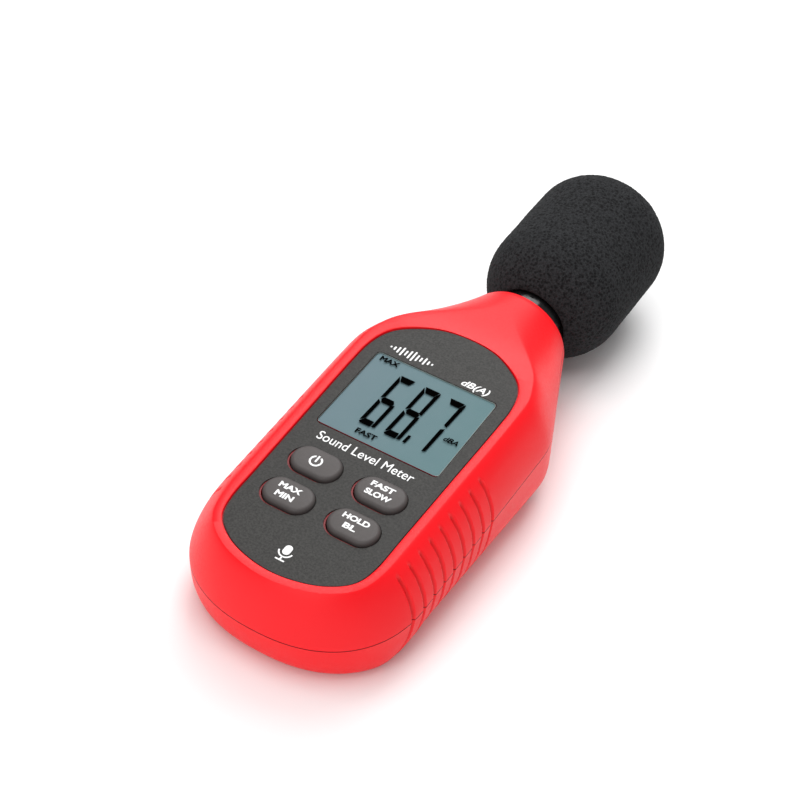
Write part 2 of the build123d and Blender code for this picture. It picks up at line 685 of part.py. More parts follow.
def footprint_middle(shapes):
    """The middle of the whole object along Y, once it is set down."""
    ends = [set_down(shapes[name]).bounding_box() for name in ("front_case", "rear_case", "windscreen")]
    return (min(box.min.Y for box in ends) + max(box.max.Y for box in ends)) / 2


def as_node(shape, middle_y):
    """One placed solid, or a compound of the separate solids of one node."""
    solids = shape if isinstance(shape, list) else [shape]
    placed = [Pos(0, -middle_y, 0) * set_down(solid) for solid in solids]
    if len(placed) == 1:
        return placed[0]
    return Compound(children=[one_solid(solid) for solid in placed])


def all_pieces():
    """Every piece by name, in the face frame."""
    outer = case_body()
    inner = case_body(WALL) & span_box((-80, 80), (-90, COLLAR_Y - TUBE_COLLAR), (-80, 80))
    grooves = grip_grooves(outer)
    pieces = {
        "front_case": front_case(outer, inner, grooves),
        "rear_case": rear_case(outer, inner, grooves),
        "face_panel": face_panel(),
        "display_lens": display_lens(),
        "lcd_cell": lcd_cell(),
        "lcd_frame": lcd_frame(),
        "light_guide": light_guide(),
        "zebra_strip_upper": zebra_strip(1),
        "zebra_strip_lower": zebra_strip(-1),
        "backlight_leds": backlight_leds(),
        "main_board": main_board(),
        "board_screws": board_screws(),
        "keypad_web": keypad_web(),
        "key_domes": key_domes(),
        "main_chip": main_chip(),
        "amplifier_chip": amplifier_chip(),
        "board_capacitors": board_capacitors(),
        "board_crystal": board_crystal(),
        "mic_tube": mic_tube(),
        "mic_grommet": mic_grommet(),
        "mic_capsule": mic_capsule(),
        "mic_grille": mic_grille(),
        "mic_lead_signal": mic_lead(-1.6),
        "mic_lead_ground": mic_lead(1.6),
        "windscreen": windscreen(),
        "battery_left": battery(-CELL_PITCH, nub_up=True),
        "battery_middle": battery(0.0, nub_up=False),
        "battery_right": battery(CELL_PITCH, nub_up=True),
        "battery_cover": battery_cover(outer),
        "case_screws": case_screws(),
        "rear_label": rear_label(),
    }
    for name, centre in zip(KEY_NAMES, key_places()):
        pieces[name] = key(centre)
    pieces.update(contacts())
    return pieces


def write_parts():
    """Write one STEP file for each piece, with the origin under the middle of the object."""
    os.makedirs("parts", exist_ok=True)
    shapes = all_pieces()
    middle_y = footprint_middle(shapes)
    print("face frame's y = 0 lies at y =", round(-middle_y, 3))
    for name, shape in shapes.items():
        export_step(as_node(shape, middle_y), os.path.join("parts", name + ".step"))


if __name__ == "__main__":
    write_parts()
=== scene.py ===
"""Looks of the pocket sound level meter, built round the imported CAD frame.

Pieces are drawn in the face frame in millimetres: X to the right, Y along the microphone axis,
Z out of the face panel. TO_TABLE places them in the row frame.
"""
import json
import math

import bmesh
import bpy
import numpy as np
from mathutils import Matrix, Vector, noise


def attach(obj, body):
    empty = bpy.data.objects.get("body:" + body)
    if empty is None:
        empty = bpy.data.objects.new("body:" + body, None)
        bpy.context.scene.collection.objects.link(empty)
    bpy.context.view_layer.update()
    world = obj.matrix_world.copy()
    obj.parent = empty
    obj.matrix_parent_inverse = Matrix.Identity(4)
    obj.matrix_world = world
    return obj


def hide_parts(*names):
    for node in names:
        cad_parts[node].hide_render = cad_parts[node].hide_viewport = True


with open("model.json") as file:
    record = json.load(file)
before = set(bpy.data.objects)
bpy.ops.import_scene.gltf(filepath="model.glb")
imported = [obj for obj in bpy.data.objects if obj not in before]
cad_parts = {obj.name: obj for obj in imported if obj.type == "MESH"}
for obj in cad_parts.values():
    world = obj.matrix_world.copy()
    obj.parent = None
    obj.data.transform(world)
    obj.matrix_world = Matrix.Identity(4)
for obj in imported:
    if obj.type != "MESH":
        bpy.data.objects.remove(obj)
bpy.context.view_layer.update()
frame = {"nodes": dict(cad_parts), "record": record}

MM = 0.001

# ---- Case (mm, face frame) ----
HALF_WIDTH = 26.2
END_Y = -57.9
END_CENTRE_Y = -34.2
END_POWER = 2.29
COLLAR_Y = 50.0
COLLAR_RADIUS = 12.2
MIC_Z = -7.8
RIM_Z = 9.9
BACK_Z = -17.75
BACK_SLOPE = 0.11
WALL = 1.8
PARTING_Z = -1.7
PARTING_GAP = 0.2
SHOULDER_Y = 17.0
TOP_END_Y = 27.0
BACK_END_Y = 40.0
RIM_WIDTH = 2.1
PANEL_FLOOR_Z = 9.2
PANEL_TOP_Z = 9.5
PANEL_GAP = 0.25
PLATE_LOW_Z = 7.4
WINDOW = (30.2, 25.1, 1.2)
KEY_X = 7.85
KEY_Y = (-22.7, -32.85)
KEY_SIZE = (11.6, 7.2)
KEY_TOP_Z = 10.6
CASE_KEY_GAP = 0.25
PANEL_KEY_GAP = 0.38
PANEL_KEY_SHIFT = (-0.2, -0.2)
TUBE_RADIUS = 8.6
FOAM_RADIUS = 17.32
FOAM_Y = (52.85, 101.17)
FOAM_BASE_ROUND = 16.2
FOAM_TIP_ROUND = 12.5
FOAM_BORE_Y = 85.0

# ---- Grips (mm) ----
GRIP_COUNT = 9
GRIP_FIRST_Y = -9.9
GRIP_PITCH = 3.84
GRIP_DEPTH = 0.55
GRIP_HALF_WIDTH = 0.52

# ---- Battery side (mm, square to the back plane) ----
COVER_HALF_WIDTH = 16.15
COVER_Y = (-46.0, 0.2)
COVER_GAP = 0.15
LABEL_SIZE = (26.0, 14.0)
LABEL_Y = 14.0
POCKET_RADIUS = 2.35
POCKET_DEPTH = 5.0
BOSS_RADIUS = 2.9
BOSS_HEIGHT = 9.5
CASE_SCREWS = [(x, y) for x in (-20.4, 20.4) for y in (-38.0, 17.0)]


# ======================================================================= placing
def joint(name):
    """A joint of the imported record, by name."""
    return next(j for j in frame["record"]["behaviour"]["joints"] if j["name"] == name)


mic_axis = Vector(joint("windscreen_pull")["axis"])
TILT = math.atan2(mic_axis.z, mic_axis.y)
SHIFT_Y = joint("battery_cover_open")["pos_m"][1] / MM - (COVER_Y[0] - COVER_GAP / 2)
BACK_TO_TABLE = Matrix.Scale(MM, 4) @ Matrix.Translation((0, SHIFT_Y, 0))
TO_TABLE = BACK_TO_TABLE @ Matrix.Rotation(TILT, 4, "X") @ Matrix.Translation((0, 0, -BACK_Z))


def add_object(name, mesh):
    """Link a mesh as an object."""
    made = bpy.data.objects.new(name, mesh)
    bpy.context.scene.collection.objects.link(made)
    return made


def from_arrays(name, points, faces):
    """An object from points in millimetres and faces."""
    mesh = bpy.data.meshes.new(name)
    mesh.from_pydata([tuple(p) for p in points], [], faces)
    mesh.update()
    return add_object(name, mesh)


def settle(made, matrix=TO_TABLE, sharp_angle=35.0):
    """Move a piece from millimetres to its place and set its shading."""
    made.data.transform(matrix)
    made.data.shade_smooth()
    made.data.set_sharp_from_angle(angle=math.radians(sharp_angle))
    return made


def finished(made, body, material, replaces=()):
    """Give a placed piece its material, its body and the nodes that it stands for."""
    for entry in [material] if isinstance(material, bpy.types.Material) else material:
        made.data.materials.append(entry)
    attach(made, body)
    if replaces:
        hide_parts(*replaces)
    return made


def applied(made):
    """Turn an object's modifiers, or a curve's shape, into a plain mesh object."""
    graph = bpy.context.evaluated_depsgraph_get()
    mesh = bpy.data.meshes.new_from_object(made.evaluated_get(graph))
    name = made.name
    bpy.data.objects.remove(made)
    mesh.name = name
    return add_object(name, mesh)


def cut(target, tool, operation="DIFFERENCE"):
    """Boolean of two closed meshes; the tool is removed."""
    modifier = target.modifiers.new("cut", "BOOLEAN")
    modifier.operation = operation
    modifier.solver = "EXACT"
    modifier.object = tool
    made = applied(target)
    bpy.data.objects.remove(tool)
    return made


def faced_outward(made):
    """Turn every face of a closed mesh outward."""
    builder = bmesh.new()
    builder.from_mesh(made.data)
    bmesh.ops.recalc_face_normals(builder, faces=builder.faces)
    builder.to_mesh(made.data)
    builder.free()
    return made


def joined(name, parts):
    """Several mesh objects as one."""
    builder = bmesh.new()
    for part in parts:
        builder.from_mesh(part.data)
    mesh = bpy.data.meshes.new(name)
    builder.to_mesh(mesh)
    builder.free()
    for part in parts:
        bpy.data.objects.remove(part)
    return add_object(name, mesh)


# ======================================================================= outlines
def smooth_closed(points, steps=10):
    """Closed smooth curve through points (Catmull-Rom)."""
    pts = np.array(points, float)
    before, after, beyond = np.roll(pts, 1, 0), np.roll(pts, -1, 0), np.roll(pts, -2, 0)
    out = []
    for step in range(steps):
        t = step / steps
        out.append(0.5 * (2 * pts + (after - before) * t + (2 * before - 5 * pts + 4 * after - beyond) * t**2
                          + (3 * pts - before - 3 * after + beyond) * t**3))
    return np.stack(out, 1).reshape(-1, 2)


def mirrored_outline(right_half):
    """A closed point list from its right half, whose first and last points lie on the centre line."""
    left = [(-x, y) for x, y in reversed(right_half[1:-1])]
    return right_half + left


PANEL_HALF = [(0, -50.95), (6.0, -50.2), (11.4, -48.2), (15.6, -44.7), (17.2, -39.5), (17.45, -30.0),
              (17.8, -12.0), (18.15, 6.0), (17.9, 13.5), (16.2, 18.7), (12.7, 22.2), (6.8, 25.3), (0, 26.2)]


def grown(outline, growth):
    """An outline moved outward along its normals."""
    pts = np.array(outline, float)
    along = np.roll(pts, -1, 0) - np.roll(pts, 1, 0)
    normal = np.stack([along[:, 1], -along[:, 0]], 1)
    normal /= np.linalg.norm(normal, axis=1, keepdims=True)
    return pts + growth * normal


def panel_outline(growth=0.0):
    """Outline of the face panel."""
    return grown(smooth_closed(mirrored_outline(PANEL_HALF)), growth)


def rounded_box(width, height, radius, centre=(0, 0), steps=10):
    """Rounded rectangle, counter-clockwise."""
    out = []
    for corner, (sx, sy) in enumerate(((1, 1), (-1, 1), (-1, -1), (1, -1))):
        for step in range(steps + 1):
            angle = math.radians(90 * corner + 90 * step / steps)
            out.append((centre[0] + sx * (width / 2 - radius) + radius * math.cos(angle),
                        centre[1] + sy * (height / 2 - radius) + radius * math.sin(angle)))
    return np.array(out)


def stadium(growth=0.0, centre=(0, 0), steps=24):
    """A key's outline, grown on all sides."""
    width, height = KEY_SIZE[0] + 2 * growth, KEY_SIZE[1] + 2 * growth
    return rounded_box(width, height, height / 2 - 1e-4, centre, steps)


def key_places():
    """Centres of the four keys, upper row first."""
    return [(x, y) for y in KEY_Y for x in (-KEY_X, KEY_X)]


def prism(name, outline, low, high):
    """Closed prism over an outline."""
    count = len(outline)
    points = [(x, y, low) for x, y in outline] + [(x, y, high) for x, y in outline]
    faces = [tuple(range(count - 1, -1, -1)), tuple(range(count, 2 * count))]
    faces += [(i, (i + 1) % count, count + (i + 1) % count, count + i) for i in range(count)]
    return from_arrays(name, points, faces)


def sheet_with_holes(name, outer, holes, low, high, bevel):
    """Flat plate with holes and softly broken edges."""
    curve = bpy.data.curves.new(name, "CURVE")
    curve.dimensions = "2D"
    curve.fill_mode = "BOTH"
    for outline in [outer] + holes:
        spline = curve.splines.new("POLY")
        spline.points.add(len(outline) - 1)
        for point, (x, y) in zip(spline.points, outline):
            point.co = (x, y, 0, 1)
        spline.use_cyclic_u = True
    curve.extrude = (high - low) / 2 - bevel
    curve.bevel_depth = bevel
    curve.bevel_resolution = 2
    curve.offset = -bevel
    made = applied(add_object(name, curve))
    made.data.transform(Matrix.Translation((0, 0, (low + high) / 2)))
    return made


# ======================================================================= case shape
def ramp(y, start, softness):
    """0 below the start, then rising at slope 1, with a soft corner."""
    return softness * np.logaddexp(0.0, (y - start) / softness)


def ease(y, start, end):
    """Smooth step from 0 to 1."""
    t = np.clip((y - start) / (end - start), 0, 1)
    return t * t * (3 - 2 * t)


def half_width(y):
    """Half the case's width over the straight sides, the shoulders and the neck."""
    slope = (HALF_WIDTH - COLLAR_RADIUS) / (COLLAR_Y - SHOULDER_Y)
    return HALF_WIDTH - slope * ramp(y, SHOULDER_Y, 1.15)


def top_z(y):
    """Height of the case's top on the centre line."""
    fall = (RIM_Z - MIC_Z - COLLAR_RADIUS) / (COLLAR_Y - TOP_END_Y)
    return RIM_Z - fall * ramp(y, TOP_END_Y, 2.2)


def bottom_z(y):
    """Height of the back on the centre line."""
    plane = BACK_Z - BACK_SLOPE * y
    rise = (MIC_Z - COLLAR_RADIUS - BACK_Z + BACK_SLOPE * COLLAR_Y) / (COLLAR_Y - BACK_END_Y)
    return plane + rise * ramp(y, BACK_END_Y, 1.2)


def case_outline(inset, fine):
    """Points round the case at its widest, from the collar's right side round the end to its left."""
    side_y = np.linspace(COLLAR_Y, END_CENTRE_Y, 1500)
    right = np.stack([half_width(side_y) - inset, side_y], 1)
    angle = np.linspace(0, math.pi / 2, 1200)[1:]
    power = 2 / END_POWER
    end = np.stack([(HALF_WIDTH - inset) * np.cos(angle) ** power,
                    END_CENTRE_Y + (END_Y + inset - END_CENTRE_Y) * np.sin(angle) ** power], 1)
    end[-1, 0] = 0.0
    half = np.concatenate([right, end])
    left = (half * (-1, 1))[-2::-1]
    dense = np.concatenate([half, left])
    step = np.linalg.norm(np.diff(dense, axis=0), axis=1)
    mid_y = (dense[1:, 1] + dense[:-1, 1]) / 2
    at_grip = (mid_y < GRIP_FIRST_Y + 4) & (mid_y > GRIP_FIRST_Y - GRIP_COUNT * GRIP_PITCH - 3)
    spacing = np.where(at_grip & fine, 0.17, 0.9)
    travelled = np.concatenate([[0], np.cumsum(step / spacing)])
    places = np.linspace(0, travelled[-1], int(travelled[-1]) + 1)
    return np.stack([np.interp(places, travelled, dense[:, i]) for i in (0, 1)], 1)


def section_rows(fine):
    """Rows of a half section as (zone, t) from the top's middle to the back's middle."""
    corner, wall, flat = (20, 14, 5) if fine else (8, 4, 2)
    rows = [("top", t) for t in np.linspace(0, 1, flat, endpoint=False)]
    rows += [("shoulder", t) for t in np.linspace(0, 1, corner, endpoint=False)]
    rows += [("wall", t) for t in np.linspace(0, 1, wall, endpoint=False)]
    rows += [("heel", t) for t in np.linspace(0, 1, corner, endpoint=False)]
    rows += [("back", t) for t in np.linspace(0, 1, flat + 1)]
    return rows


def crease_reach(x, y):
    """Distance from the section's origin to the rim's outer crease, which follows the face panel."""
    rim = panel_outline(RIM_WIDTH)
    side = rim[(rim[:, 0] >= -1e-6) & (rim[:, 1] < 14)]
    side = side[np.argsort(side[:, 1])]
    beside = np.interp(np.minimum(y, 10.0), side[:, 1], side[:, 0])
    beside = np.where(y > 10.0, beside + half_width(y) - half_width(10.0), beside)
    turn = np.arctan2(side[:, 0], END_CENTRE_Y - side[:, 1])
    order = np.argsort(turn)
    below = np.interp(np.arctan2(np.abs(x), END_CENTRE_Y - y), turn[order],
                      np.hypot(side[:, 0], side[:, 1] - END_CENTRE_Y)[order])
    return np.where(y < END_CENTRE_Y, below, beside)


def case_points(outline, inset, ceiling=None):
    """Grid of points of the whole case: one column for each outline point, one row for each section row."""
    x, y = outline[:, 0], outline[:, 1]
    in_end = y < END_CENTRE_Y
    origin_y = np.where(in_end, END_CENTRE_Y, y)
    reach = np.hypot(x, y - origin_y)
    neck = ease(y, 22.0, COLLAR_Y)
    endness = ease(-y, -END_CENTRE_Y - 3.0, -END_CENTRE_Y + 13.0)

    def blend(side, end, collar):
        return (side * (1 - endness) + end * endness) * (1 - neck) + collar * neck

    top = top_z(y) - inset
    top = top if ceiling is None else np.minimum(top, ceiling)
    middle = MIC_Z * neck
    bottom_here = bottom_z(y) + inset * math.sqrt(1 + BACK_SLOPE**2)
    shoulder_x = blend(1.0, 1.0, 0.0) * (reach - crease_reach(x, y) + inset * 0.3) + reach * neck
    shoulder_z = blend(11.4 - 0.5 * inset, 11.6 - 0.5 * inset, top - middle)
    shoulder_power = 2 / blend(1.42, 1.22, 2.0)
    heel_x = blend(11.4 - inset, 3.2 - 0.5 * inset, reach)
    heel_z = blend(10.9 - inset, 8.0 - inset, middle - bottom_here)
    heel_power = 2 / blend(2.15, 2.1, 2.0)
    grid = []
    for zone, t in section_rows(inset == 0):
        angle = t * math.pi / 2
        if zone == "top":
            share = t * (1 - shoulder_x / reach)
            z = top
        elif zone == "shoulder":
            share = 1 - shoulder_x / reach * (1 - math.sin(angle) ** shoulder_power)
            z = top - shoulder_z * (1 - math.cos(angle) ** shoulder_power)
        elif zone == "wall":
            share = np.ones_like(reach)
            z = (top - shoulder_z) * (1 - t) + (bottom_here + heel_z) * t
        elif zone == "heel":
            share = 1 - heel_x / reach * (1 - math.cos(angle) ** heel_power)
            z = bottom_here + heel_z * (1 - math.sin(angle) ** heel_power)
        else:
            share = (1 - t) * (1 - heel_x / reach)
            z = bottom_here
        py = origin_y + (y - origin_y) * share
        if zone in ("heel", "back"):
            z = z - BACK_SLOPE * (py - y) * in_end
        grid.append(np.stack([x * share, py, z + 0 * x], 1))
    return np.stack(grid, 1)


def grip_pattern(points):
    """Depth of the grip grooves at points on the case."""
    z = points[..., 2]
    side = ease(np.abs(points[..., 0]), 20.6, 21.6)
    ends = ease(z, -15.5, -12.5) * (1 - ease(z, 7.6, 8.5))
    lean = 2.9 - 0.016 * (z - 7.0) ** 2
    depth = np.zeros(z.shape)
    for index in range(GRIP_COUNT):
        centre = GRIP_FIRST_Y - index * GRIP_PITCH + lean
        across = (points[..., 1] - centre) / GRIP_HALF_WIDTH
        depth = np.maximum(depth, np.clip(1 - across**2, 0, 1) ** 0.55)
    return GRIP_DEPTH * depth * side * ends


def grid_mesh(name, grid, end_y, depth=None):
    """Closed mesh from the case grid, with a rounded end wall at the collar; depth is stored to paint shade
    into the grooves.
    """
    rows = grid.shape[1]
    for side in (0, -1):
        grid[side][:, 1] = end_y - 0.45
    extra = [[], []]
    for number, side in enumerate((0, -1)):
        ring = grid[side]
        axis_z = (ring[0, 2] + ring[-1, 2]) / 2
        for share, back in ((0.99, 0.12), (0.965, 0.0), (0.7, 0.0), (0.0, 0.0)):
            extra[number].append(np.stack([ring[:, 0] * share, np.full(rows, end_y - back),
                                           axis_z + (ring[:, 2] - axis_z) * share], 1))
    stack = extra[0][::-1] + list(grid) + extra[1]
    points = np.concatenate(stack)
    faces = []
    for c in range(len(stack) - 1):
        for r in range(rows - 1):
            a = c * rows + r
            faces.append((a, a + 1, a + rows + 1, a + rows))
    made = from_arrays(name, points, faces)
    if depth is not None:
        # Groove depth as an attribute, which the case material uses as painted shade.
        blank = np.zeros(4 * rows)
        shading = made.data.attributes.new("groove_painted_shade", "FLOAT", "POINT")
        shading.data.foreach_set("value", np.concatenate([blank, depth.ravel() / GRIP_DEPTH, blank]))
    builder = bmesh.new()
    builder.from_mesh(made.data)
    bmesh.ops.remove_doubles(builder, verts=builder.verts, dist=0.004)
    bmesh.ops.dissolve_degenerate(builder, edges=builder.edges, dist=0.001)
    bmesh.ops.recalc_face_normals(builder, faces=builder.faces)
    builder.to_mesh(made.data)
    builder.free()
    return made


def grooved(grid):
    """The case grid with the grip grooves pressed in, and their depth at each point."""
    down = np.gradient(grid, axis=1)
    along = np.gradient(grid, axis=0)
    normal = np.cross(down, along)
    normal /= np.linalg.norm(normal, axis=2, keepdims=True) + 1e-9
    inward = -np.sign((normal * grid * (1, 0, 0)).sum(2, keepdims=True)) * normal
    depth = grip_pattern(grid)
    return grid + inward * depth[..., None], depth


def side_prism(name, outline):
    """Closed prism across the case over an outline in Y and Z."""
    made = prism(name, outline, -40, 40)
    made.data.transform(Matrix(((0, 0, 1, 0), (1, 0, 0, 0), (0, 1, 0, 0), (0, 0, 0, 1))))
    return made


def half_space(name, upper):
    """Everything above or below the parting surface, which drops to meet the collar's side."""
    offset = PARTING_GAP / 2 if upper else -PARTING_GAP / 2
    line = [(-70, PARTING_Z + offset), (30, PARTING_Z + offset), (55, -6.15 + offset)]
    far = [(55, 40), (-70, 40)] if upper else [(55, -40), (-70, -40)]
    outline = line + far
    return side_prism(name, outline if upper else outline[::-1])


def rod(name, radius, y_low, y_high, steps=96):
    """Closed cylinder on the microphone axis."""
    angle = np.linspace(0, 2 * math.pi, steps, endpoint=False)
    outline = np.stack([radius * np.cos(angle), radius * np.sin(angle)], 1)
    made = prism(name, outline, y_low, y_high)
    made.data.transform(Matrix(((1, 0, 0, 0), (0, 0, 1, 0), (0, -1, 0, MIC_Z), (0, 0, 0, 1))))
    return made


def loft(name, rings):
    """Closed skin through outlines of equal length, given with their heights."""
    count = len(rings[0][0])
    points = [(x, y, z) for outline, z in rings for x, y in outline]
    faces = [tuple(range(count - 1, -1, -1)), tuple(range(len(points) - count, len(points)))]
    for ring in range(len(rings) - 1):
        low = ring * count
        faces += [(low + i, low + (i + 1) % count, low + count + (i + 1) % count, low + count + i)
                  for i in range(count)]
    return from_arrays(name, points, faces)


def back_box(name, x, y, height):
    """A box that is square to the back plane, moved into the face frame."""
    outline = [(x[0], y[0]), (x[1], y[0]), (x[1], y[1]), (x[0], y[1])]
    made = prism(name, outline, height[0], height[1])
    made.data.transform(FROM_BACK)
    return made


FROM_BACK = Matrix.Translation((0, 0, BACK_Z)) @ Matrix.Rotation(-TILT, 4, "X")


def make_front_case(shell):
    """Upper shell with its face plate."""
    shell = cut(shell, half_space("upper", True), "INTERSECT")
    soft_edge = [(0.0, 6.0), (0.0, RIM_Z - 0.3), (0.05, RIM_Z - 0.15), (0.16, RIM_Z - 0.05),
                 (0.35, RIM_Z + 0.01), (0.35, RIM_Z + 2)]
    opening = loft("opening", [(panel_outline(PANEL_GAP + growth), z) for growth, z in soft_edge])
    shell = cut(shell, opening)
    shell = cut(shell, rod("bore", TUBE_RADIUS + 0.02, 40, 55))
    holes = [rounded_box(*WINDOW)] + [stadium(CASE_KEY_GAP, place) for place in key_places()]
    rim = panel_outline(PANEL_GAP + 0.1)
    plate = sheet_with_holes("face_plate", rim, holes, PLATE_LOW_Z, PANEL_FLOOR_Z, 0.05)
    # Painted shade: the face plate takes the second material, the darker red, for the ledge seen in shade
    # round the keys and window.
    for face in plate.data.polygons:
        face.material_index = 1
    whole = joined("front_shell", [shell, plate])
    paint_gap_shade(whole)
    return settle(whole)


def paint_gap_shade(made):
    """Paint shade into the parting gap: its level faces get the second material, the darker red."""
    for face in made.data.polygons:
        level = abs(face.normal.z) > 0.9
        beside_collar = face.center.y > 30 and -5.6 < face.center.z < PARTING_Z
        if level and (beside_collar or abs(face.center.z - PARTING_Z) < PARTING_GAP):
            face.material_index = 1


def make_rear_case(shell, cavity):
    """Lower shell with its battery opening, label recess, screw pockets and bay, round the cavity."""
    shell = cut(shell, half_space("lower", False), "INTERSECT")
    wide = COVER_HALF_WIDTH + COVER_GAP
    opening_y = (COVER_Y[0] - COVER_GAP, COVER_Y[1] + COVER_GAP)
    shell = cut(shell, back_box("bay_opening", (-wide, wide), opening_y, (-3, 5)))
    label_x, label_y = LABEL_SIZE[0] / 2 + 0.1, LABEL_SIZE[1] / 2 + 0.1
    shell = cut(shell, back_box("label_recess", (-label_x, label_x), (LABEL_Y - label_y, LABEL_Y + label_y),
                                (-3, 0.25)))
    bosses = []
    for x, y in CASE_SCREWS:
        base = BACK_Z - BACK_SLOPE * y
        shell = cut(shell, prism("pocket", ring_points(POCKET_RADIUS, (x, y)), base - 4, base + POCKET_DEPTH))
        tube = prism("boss", ring_points(BOSS_RADIUS, (x, y)), base + 0.5, base + BOSS_HEIGHT)
        bore = prism("bore", ring_points(POCKET_RADIUS, (x, y)), base - 1, base + POCKET_DEPTH)
        bosses.append(cut(tube, bore))
    shell = cut(shell, rod("bore", TUBE_RADIUS + 0.02, 40, 55))
    bay = back_box("bay", (-wide - 1.1, wide + 1.1), (-48.7, 2.9), (1.0, 13.8))
    bay = cut(bay, back_box("room", (-wide, wide), (-47.6, 1.8), (-1, 12.7)))
    bay = cut(bay, back_box("mouth", (-wide, wide), opening_y, (-1, 5)))
    bosses = cut(joined("bosses", bosses), cavity, "INTERSECT")
    whole = joined("rear_shell", [shell, bay, bosses])
    paint_gap_shade(whole)
    return settle(whole)


def ring_points(radius, centre, steps=48):
    """Circle as an outline."""
    angle = np.linspace(0, 2 * math.pi, steps, endpoint=False)
    return np.stack([centre[0] + radius * np.cos(angle), centre[1] + radius * np.sin(angle)], 1)


# ======================================================================= face pieces
def make_key(name, centre):
    """Soft-edged key cap."""
    edge = 0.95
    rings = [(0.0, 7.4), (0.0, KEY_TOP_Z - edge - 0.12)]
    for step in range(1, 9):
        angle = math.radians(90 * step / 8)
        rings.append((-edge * (1 - math.cos(angle)), KEY_TOP_Z - 0.12 - edge * (1 - math.sin(angle))))
    rings += [(-1.8, KEY_TOP_Z - 0.05), (-2.7, KEY_TOP_Z - 0.01), (-3.5, KEY_TOP_Z)]
    return settle(loft(name, [(stadium(growth, centre), z) for growth, z in rings]), sharp_angle=60)


def make_display():
    """Display picture behind the window, and the clear window with its edge."""
    width, height, radius = WINDOW
    low, picture_z, top = 7.3, PANEL_TOP_Z - 0.22, PANEL_TOP_Z + 0.06
    picture = prism("display_picture", rounded_box(width - 0.5, height - 0.5, radius - 0.2), low, picture_z)
    rings = [(0.36, PLATE_LOW_Z + 0.02), (0.36, top - 0.12), (0.40, top - 0.04), (0.48, top)]
    window = loft("window_lens", [(rounded_box(width - growth, height - growth, radius - 0.15), z)
                                  for growth, z in rings])
    return settle(picture), settle(window)


SEGMENTS = {"6": "acdefg", "8": "abcdefg", "7": "abc"}
DIGIT_WIDTH = 4.1
DIGIT_HEIGHT = 16.4
DIGIT_SLANT = 0.035


def digit_segments(digit, left, base):
    """Quads of one seven-segment digit with narrow upright strokes and thick bars."""
    thick, stroke, gap = 1.65, 0.92, 0.14
    w, h = DIGIT_WIDTH, DIGIT_HEIGHT
    mid = h / 2
    shapes = {
        "a": [(gap, h), (w - gap - 0.3, h), (w - stroke - gap, h - thick), (stroke, h - thick)],
        "d": [(stroke, thick), (w - stroke - gap, thick), (w - stroke - gap, 0.15),
              (w - stroke - 0.5, 0), (0.45, 0), (0.1, 0.35)],
        "g": [(0.45, mid + 0.1), (0.85, mid + thick / 2), (w - 1.0, mid + thick / 2), (w - 0.45, mid),
              (w - 0.85, mid - thick / 2), (0.95, mid - thick / 2)],
        "f": [(-0.05, h - 0.25), (stroke - 0.1, h - thick - 0.1),
              (stroke - 0.1, mid + thick / 2 + 0.2), (0, mid + 0.3)],
        "e": [(0, mid - 0.25), (stroke - 0.05, mid - thick / 2 - 0.1),
              (stroke - 0.05, thick + 0.1), (0, 0.75)],
        "b": [(w - 0.05, h - 0.3), (w - 0.1, mid + 0.35), (w - stroke, mid + 0.65), (w - stroke, h - thick),
              (w - 0.3, h - 0.1)],
        "c": [(w - 0.05, mid - 0.3), (w - 0.05, 0.35), (w - stroke + 0.1, 0.05), (w - stroke, mid - 0.75)],
    }
    out = []
    for key in SEGMENTS[digit]:
        out.append([(left + x + DIGIT_SLANT * y, base + y) for x, y in shapes[key]])
    return out


def flat_shapes(name, outlines, z, thickness=0.03):
    """Several thin flat shapes as one printed piece."""
    points, faces = [], []
    for outline in outlines:
        start, count = len(points), len(outline)
        points += [(x, y, z + thickness) for x, y in outline] + [(x, y, z) for x, y in outline]
        faces.append(tuple(range(start, start + count)))
        faces += [(start + i, start + (i + 1) % count, start + count + (i + 1) % count, start + count + i)
                  for i in range(count)]
    return faced_outward(from_arrays(name, points, faces))


def lettering(name, text, x, y, z, bold=0.0, slant=0.0, thickness=0.03):
    """Printed lettering that fills a box."""
    curve = bpy.data.curves.new(name, "FONT")
    curve.body = text
    curve.shear = slant
    curve.bevel_depth = bold
    curve.bevel_resolution = 1
    curve.extrude = 0.01
    made = applied(add_object(name, curve))
    co = np.array([v.co for v in made.data.vertices])
    low, high = co.min(0), co.max(0)
    size = high - low
    scale = Matrix.Diagonal(((x[1] - x[0]) / size[0], (y[1] - y[0]) / size[1], thickness / size[2], 1))
    made.data.transform(Matrix.Translation((x[0], y[0], z)) @ scale @ Matrix.Translation(-Vector(low)))
    return made


def arc_band(centre, radius, width, start, end, steps=40):
    """Outline of a ring segment."""
    angle = np.radians(np.linspace(start, end, steps))
    outer = [(centre[0] + (radius + width / 2) * math.cos(a), centre[1] + (radius + width / 2) * math.sin(a))
             for a in angle]
    inner = [(centre[0] + (radius - width / 2) * math.cos(a), centre[1] + (radius - width / 2) * math.sin(a))
             for a in angle[::-1]]
    return outer + inner


def bar(x, y):
    """Upright bar as an outline."""
    return [(x[0], y[0]), (x[1], y[0]), (x[1], y[1]), (x[0], y[1])]


